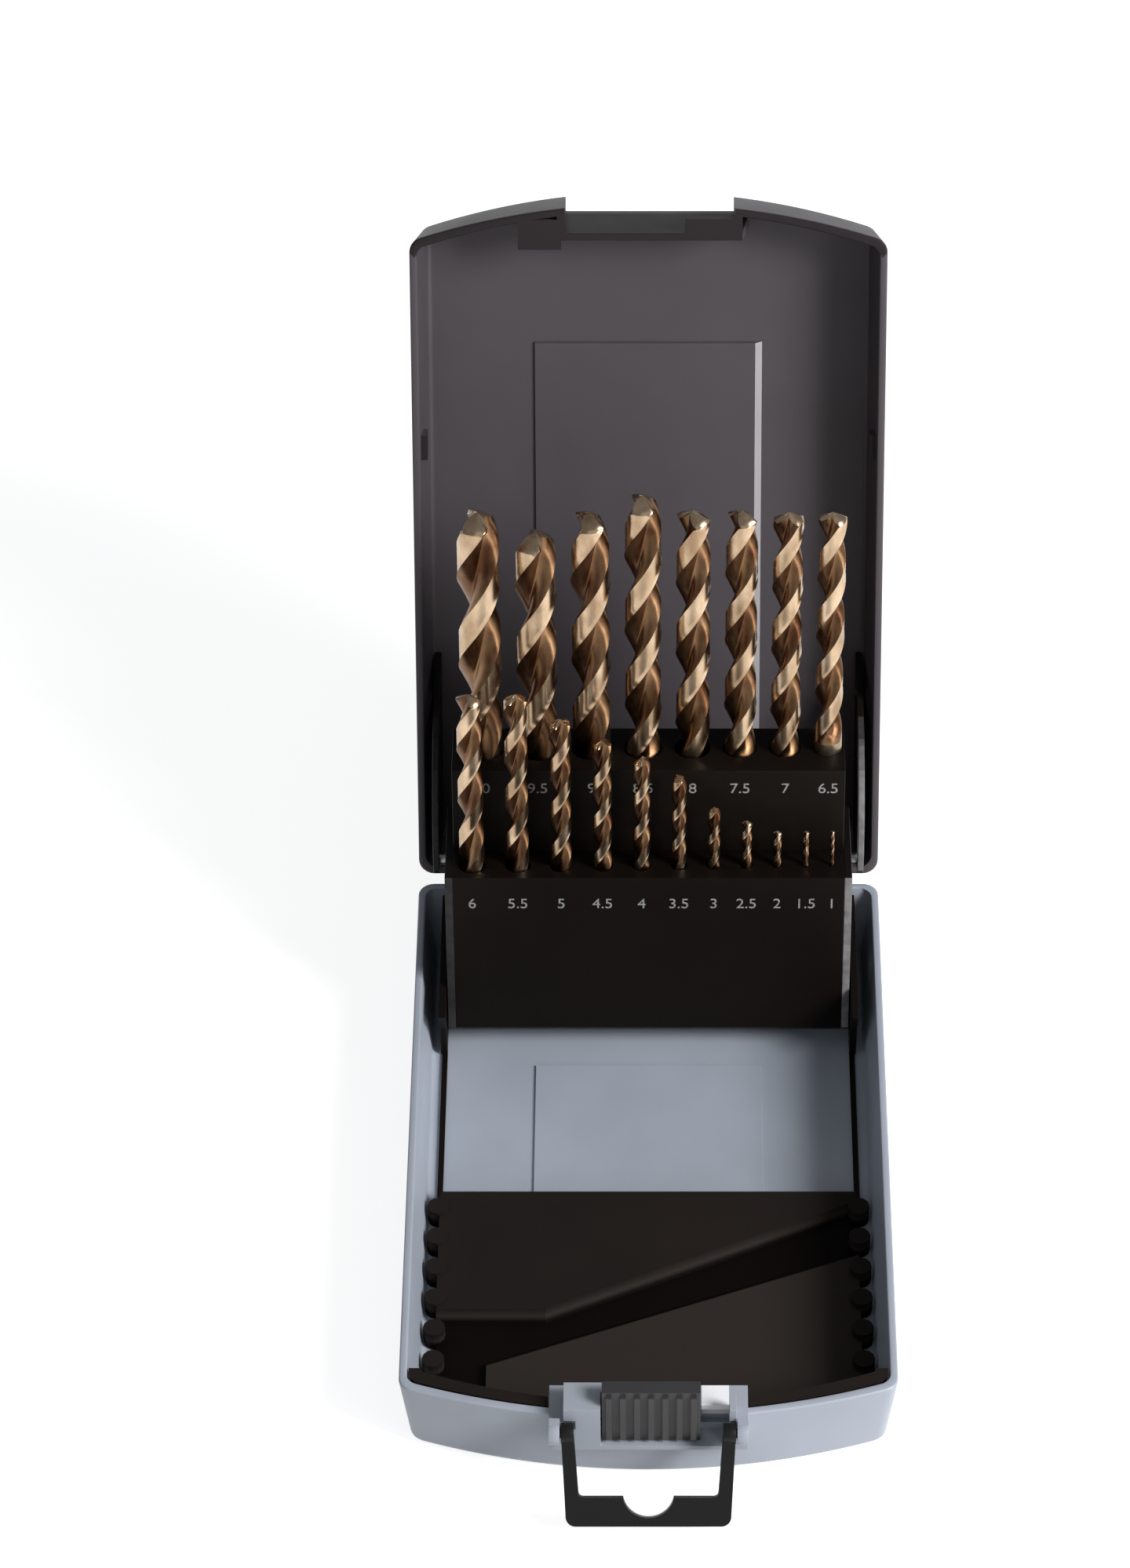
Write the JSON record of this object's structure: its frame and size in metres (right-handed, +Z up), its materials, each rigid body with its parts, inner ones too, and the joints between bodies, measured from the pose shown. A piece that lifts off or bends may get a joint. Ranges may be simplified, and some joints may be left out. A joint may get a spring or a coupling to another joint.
{
  "type": "drill bit case",
  "caption": "Hinged plastic case that lifts a two-row holder of twist drills as its lid opens, with a sliding latch and a folding bail handle.",
  "frame": {"origin": "middle of the base's flat underside", "axes": "+Z up, -Y towards the latch and handle, +Y towards the hinge, +X to the right as seen from the latch"},
  "size_m": [0.11, 0.2629, 0.1763],
  "materials": {
    "grey_plastic": "fine moulded grain",
    "lid_plastic": "fine moulded grain",
    "black_plastic": "satin",
    "handle_plastic": "satin",
    "slider_plastic": "satin",
    "cobalt_steel": "bronze oxide over ground steel",
    "pin_steel": "drawn wire"
  },
  "bodies": {
    "base": {"base_shell": "grey_plastic", "tip_tray": "black_plastic", "latch_housing": "grey_plastic", "pivot_bracket_left": "black_plastic", "pivot_bracket_right": "black_plastic", "hinge_pin": "pin_steel"},
    "lid": {"lid_shell": "lid_plastic", "cam_plate_left": "black_plastic", "cam_plate_right": "black_plastic"},
    "holder": {"front_row_block": "black_plastic", "back_row_block": "black_plastic", "holder_cheek_left": "black_plastic", "holder_cheek_right": "black_plastic", "pivot_pin_left": "pin_steel", "pivot_pin_right": "pin_steel", "follower_pin_left": "pin_steel", "follower_pin_right": "pin_steel"},
    "latch_slider": {"latch_slider": "slider_plastic"},
    "carry_handle": {"carry_handle": "handle_plastic"},
    "drill_6_0_mm": {"drill_6_0_mm": "cobalt_steel"},
    "drill_5_5_mm": {"drill_5_5_mm": "cobalt_steel"},
    "drill_5_0_mm": {"drill_5_0_mm": "cobalt_steel"},
    "drill_4_5_mm": {"drill_4_5_mm": "cobalt_steel"},
    "drill_4_0_mm": {"drill_4_0_mm": "cobalt_steel"},
    "drill_3_5_mm": {"drill_3_5_mm": "cobalt_steel"},
    "drill_3_0_mm": {"drill_3_0_mm": "cobalt_steel"},
    "drill_2_5_mm": {"drill_2_5_mm": "cobalt_steel"},
    "drill_2_0_mm": {"drill_2_0_mm": "cobalt_steel"},
    "drill_1_5_mm": {"drill_1_5_mm": "cobalt_steel"},
    "drill_1_0_mm": {"drill_1_0_mm": "cobalt_steel"},
    "drill_10_0_mm": {"drill_10_0_mm": "cobalt_steel"},
    "drill_9_5_mm": {"drill_9_5_mm": "cobalt_steel"},
    "drill_9_0_mm": {"drill_9_0_mm": "cobalt_steel"},
    "drill_8_5_mm": {"drill_8_5_mm": "cobalt_steel"},
    "drill_8_0_mm": {"drill_8_0_mm": "cobalt_steel"},
    "drill_7_5_mm": {"drill_7_5_mm": "cobalt_steel"},
    "drill_7_0_mm": {"drill_7_0_mm": "cobalt_steel"},
    "drill_6_5_mm": {"drill_6_5_mm": "cobalt_steel"}
  },
  "joints": [
    {"name": "lid_hinge", "type": "hinge", "parent": "base", "child": "lid", "pos_m": [0, 0.08375, 0.022], "axis": [-1, 0, 0], "range_deg": [-112, 0]},
    {"name": "holder_pivot", "type": "hinge", "parent": "base", "child": "holder", "pos_m": [0, 0.05945, 0.01782], "axis": [-1, 0, 0], "range_deg": [-97, 0]},
    {"name": "latch_slide", "type": "slide", "parent": "base", "child": "latch_slider", "axis": [-1, 0, 0], "range_m": [-0.006, 0]},
    {"name": "handle_pivot", "type": "hinge", "parent": "base", "child": "carry_handle", "pos_m": [0, -0.08745, 0.0212], "axis": [-1, 0, 0], "range_deg": [-35, 115]},
    {"name": "drill_6_0_mm_lift", "type": "slide", "parent": "holder", "child": "drill_6_0_mm", "axis": [0, 0.1219, 0.9925], "range_m": [0, 0.046]},
    {"name": "drill_5_5_mm_lift", "type": "slide", "parent": "holder", "child": "drill_5_5_mm", "axis": [0, 0.1219, 0.9925], "range_m": [0, 0.046]},
    {"name": "drill_5_0_mm_lift", "type": "slide", "parent": "holder", "child": "drill_5_0_mm", "axis": [0, 0.1219, 0.9925], "range_m": [0, 0.046]},
    {"name": "drill_4_5_mm_lift", "type": "slide", "parent": "holder", "child": "drill_4_5_mm", "axis": [0, 0.1219, 0.9925], "range_m": [0, 0.046]},
    {"name": "drill_4_0_mm_lift", "type": "slide", "parent": "holder", "child": "drill_4_0_mm", "axis": [0, 0.1219, 0.9925], "range_m": [0, 0.046]},
    {"name": "drill_3_5_mm_lift", "type": "slide", "parent": "holder", "child": "drill_3_5_mm", "axis": [0, 0.1219, 0.9925], "range_m": [0, 0.046]},
    {"name": "drill_3_0_mm_lift", "type": "slide", "parent": "holder", "child": "drill_3_0_mm", "axis": [0, 0.1219, 0.9925], "range_m": [0, 0.046]},
    {"name": "drill_2_5_mm_lift", "type": "slide", "parent": "holder", "child": "drill_2_5_mm", "axis": [0, 0.1219, 0.9925], "range_m": [0, 0.046]},
    {"name": "drill_2_0_mm_lift", "type": "slide", "parent": "holder", "child": "drill_2_0_mm", "axis": [0, 0.1219, 0.9925], "range_m": [0, 0.041]},
    {"name": "drill_1_5_mm_lift", "type": "slide", "parent": "holder", "child": "drill_1_5_mm", "axis": [0, 0.1219, 0.9925], "range_m": [0, 0.032]},
    {"name": "drill_1_0_mm_lift", "type": "slide", "parent": "holder", "child": "drill_1_0_mm", "axis": [0, 0.1219, 0.9925], "range_m": [0, 0.026]},
    {"name": "drill_10_0_mm_lift", "type": "slide", "parent": "holder", "child": "drill_10_0_mm", "axis": [0, 0.1219, 0.9925], "range_m": [0, 0.069]},
    {"name": "drill_9_5_mm_lift", "type": "slide", "parent": "holder", "child": "drill_9_5_mm", "axis": [0, 0.1219, 0.9925], "range_m": [0, 0.0665]},
    {"name": "drill_9_0_mm_lift", "type": "slide", "parent": "holder", "child": "drill_9_0_mm", "axis": [0, 0.1219, 0.9925], "range_m": [0, 0.061]},
    {"name": "drill_8_5_mm_lift", "type": "slide", "parent": "holder", "child": "drill_8_5_mm", "axis": [0, 0.1219, 0.9925], "range_m": [0, 0.0485]},
    {"name": "drill_8_0_mm_lift", "type": "slide", "parent": "holder", "child": "drill_8_0_mm", "axis": [0, 0.1219, 0.9925], "range_m": [0, 0.0525]},
    {"name": "drill_7_5_mm_lift", "type": "slide", "parent": "holder", "child": "drill_7_5_mm", "axis": [0, 0.1219, 0.9925], "range_m": [0, 0.0445]},
    {"name": "drill_7_0_mm_lift", "type": "slide", "parent": "holder", "child": "drill_7_0_mm", "axis": [0, 0.1219, 0.9925], "range_m": [0, 0.045]},
    {"name": "drill_6_5_mm_lift", "type": "slide", "parent": "holder", "child": "drill_6_5_mm", "axis": [0, 0.1219, 0.9925], "range_m": [0, 0.037]}
  ],
  "couplings": [
    {"joint": "holder_pivot", "follows": "lid_hinge", "ratio": 0.86607}
  ]
}
